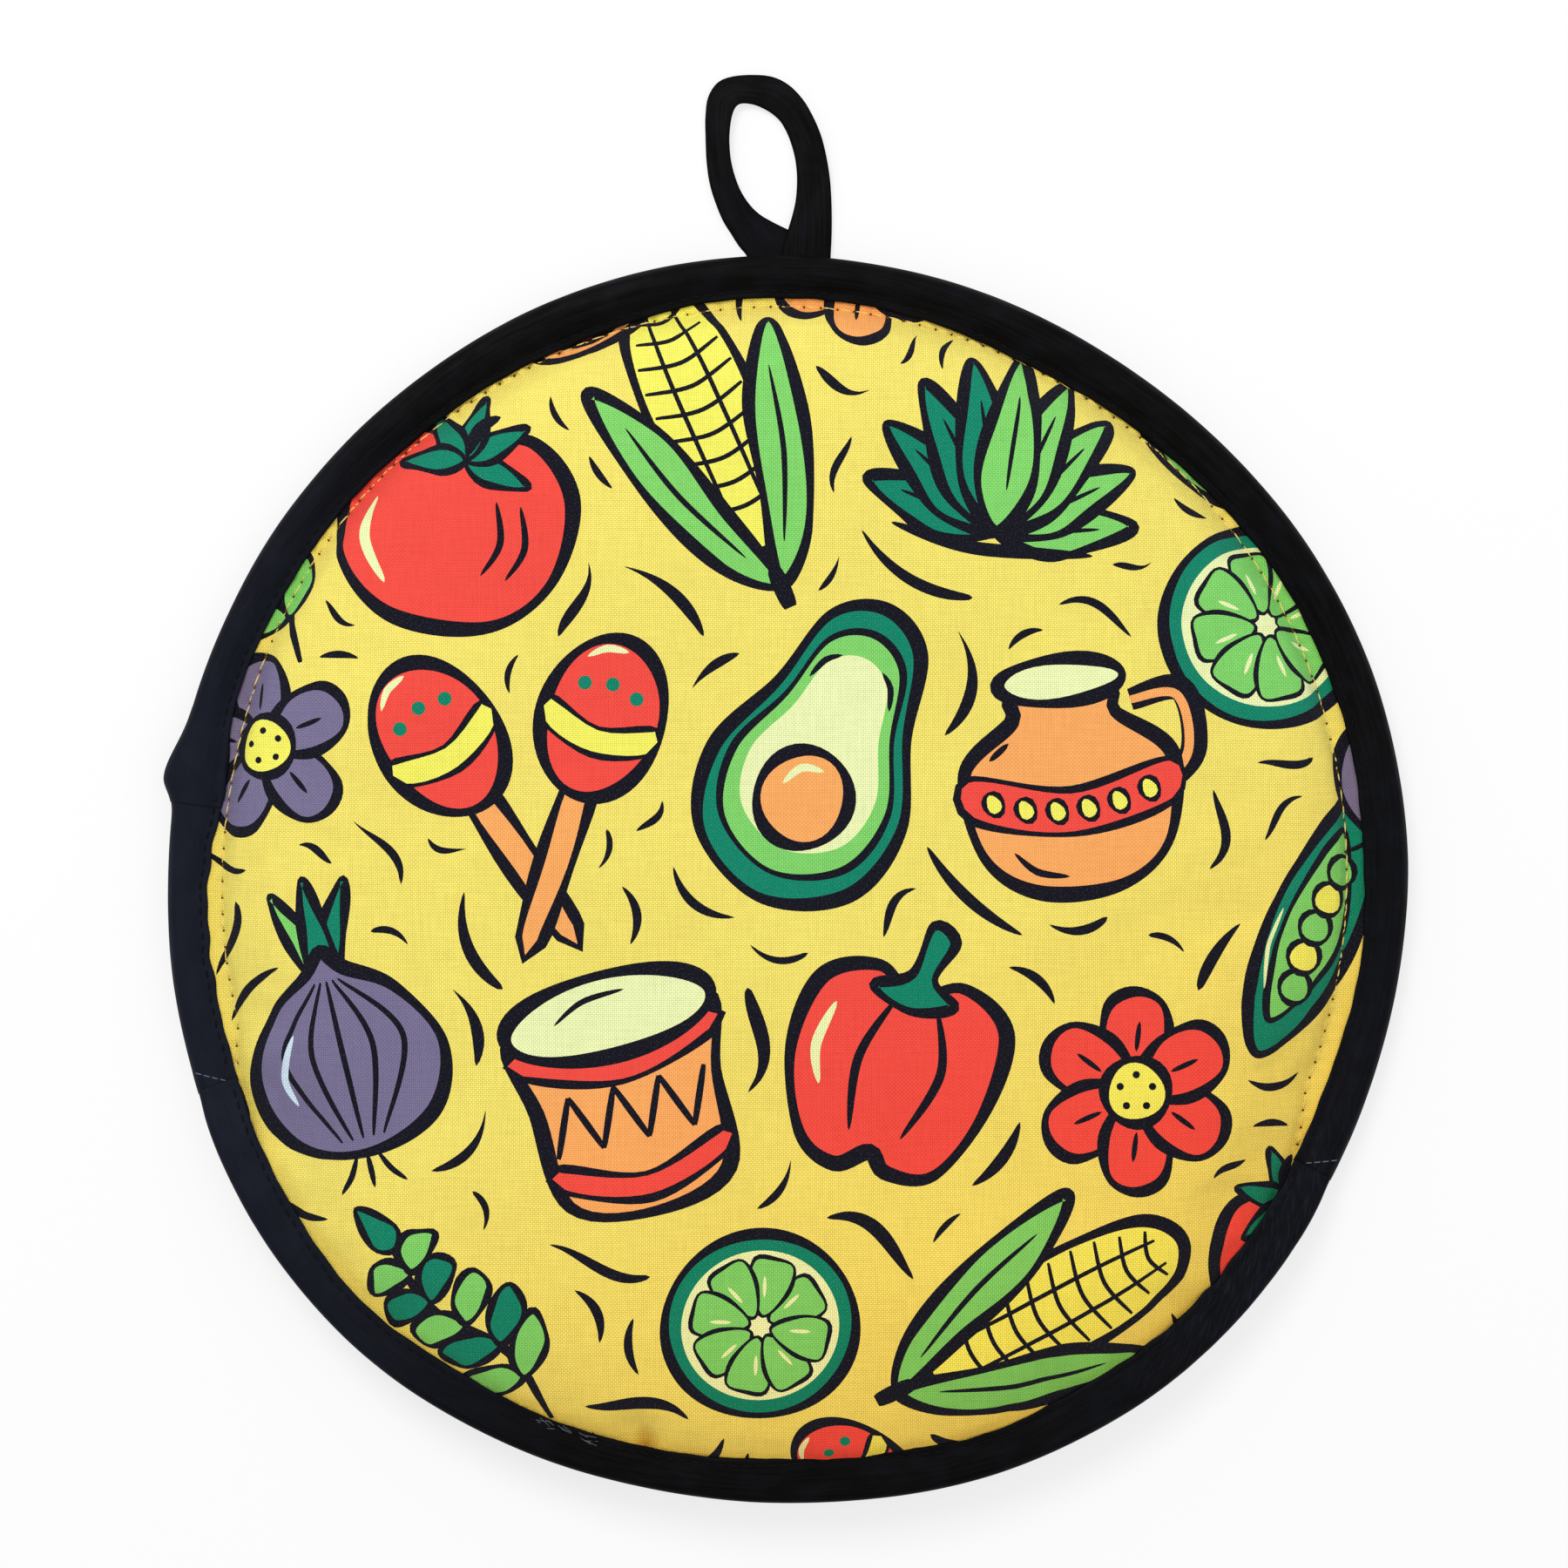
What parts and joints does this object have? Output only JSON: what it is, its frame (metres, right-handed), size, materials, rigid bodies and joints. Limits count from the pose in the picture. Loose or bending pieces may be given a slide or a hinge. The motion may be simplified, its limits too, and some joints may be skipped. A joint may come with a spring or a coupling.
{
  "type": "fabric tortilla warmer pouch",
  "caption": "Round padded fabric pouch that keeps tortillas warm, with bias-bound edges, a mouth that opens as a flap and a hanging loop.",
  "frame": {"origin": "centre of the back face, on the surface that the pouch lies on", "axes": "+Z out of the front face, +Y towards the hanging loop, +X to the right seen from the front"},
  "size_m": [0.3048, 0.3503, 0.0258],
  "materials": {
    "printed_cloth": "plain-weave cotton, yellow ground with a printed pattern, matt",
    "lining_cloth": "plain-weave natural cotton, matt",
    "padding": "polyester wadding, matt",
    "bias_tape": "black folded bias tape, faint satin",
    "seam_thread": "twisted sewing thread",
    "tack_thread": "dense zigzag sewing thread"
  },
  "bodies": {
    "pouch": {"back_outer_fabric": "printed_cloth", "back_padding": "padding", "back_lining": "lining_cloth", "front_outer_fabric": "printed_cloth", "front_padding": "padding", "front_lining": "lining_cloth", "edge_binding": "bias_tape", "binding_end_lap": "bias_tape", "back_lip_binding": "bias_tape", "left_bar_tack": "tack_thread", "right_bar_tack": "tack_thread", "front_seam_thread": "seam_thread", "loop_tails": "bias_tape"},
    "mouth_flap": {"flap_outer_fabric": "printed_cloth", "flap_padding": "padding", "flap_lining": "lining_cloth", "front_lip_binding": "bias_tape"},
    "loop": {"hanging_loop": "bias_tape"}
  },
  "joints": [
    {"name": "mouth_open", "type": "hinge", "parent": "pouch", "child": "mouth_flap", "pos_m": [-0.00476, -0.0618, 0.0213], "axis": [-0.9971, 0.0767, 0], "range_deg": [0, 110]},
    {"name": "loop_swing", "type": "hinge", "parent": "pouch", "child": "loop", "pos_m": [0, 0.1536, 0.001], "axis": [1, 0, 0], "range_deg": [-90, 90]}
  ]
}
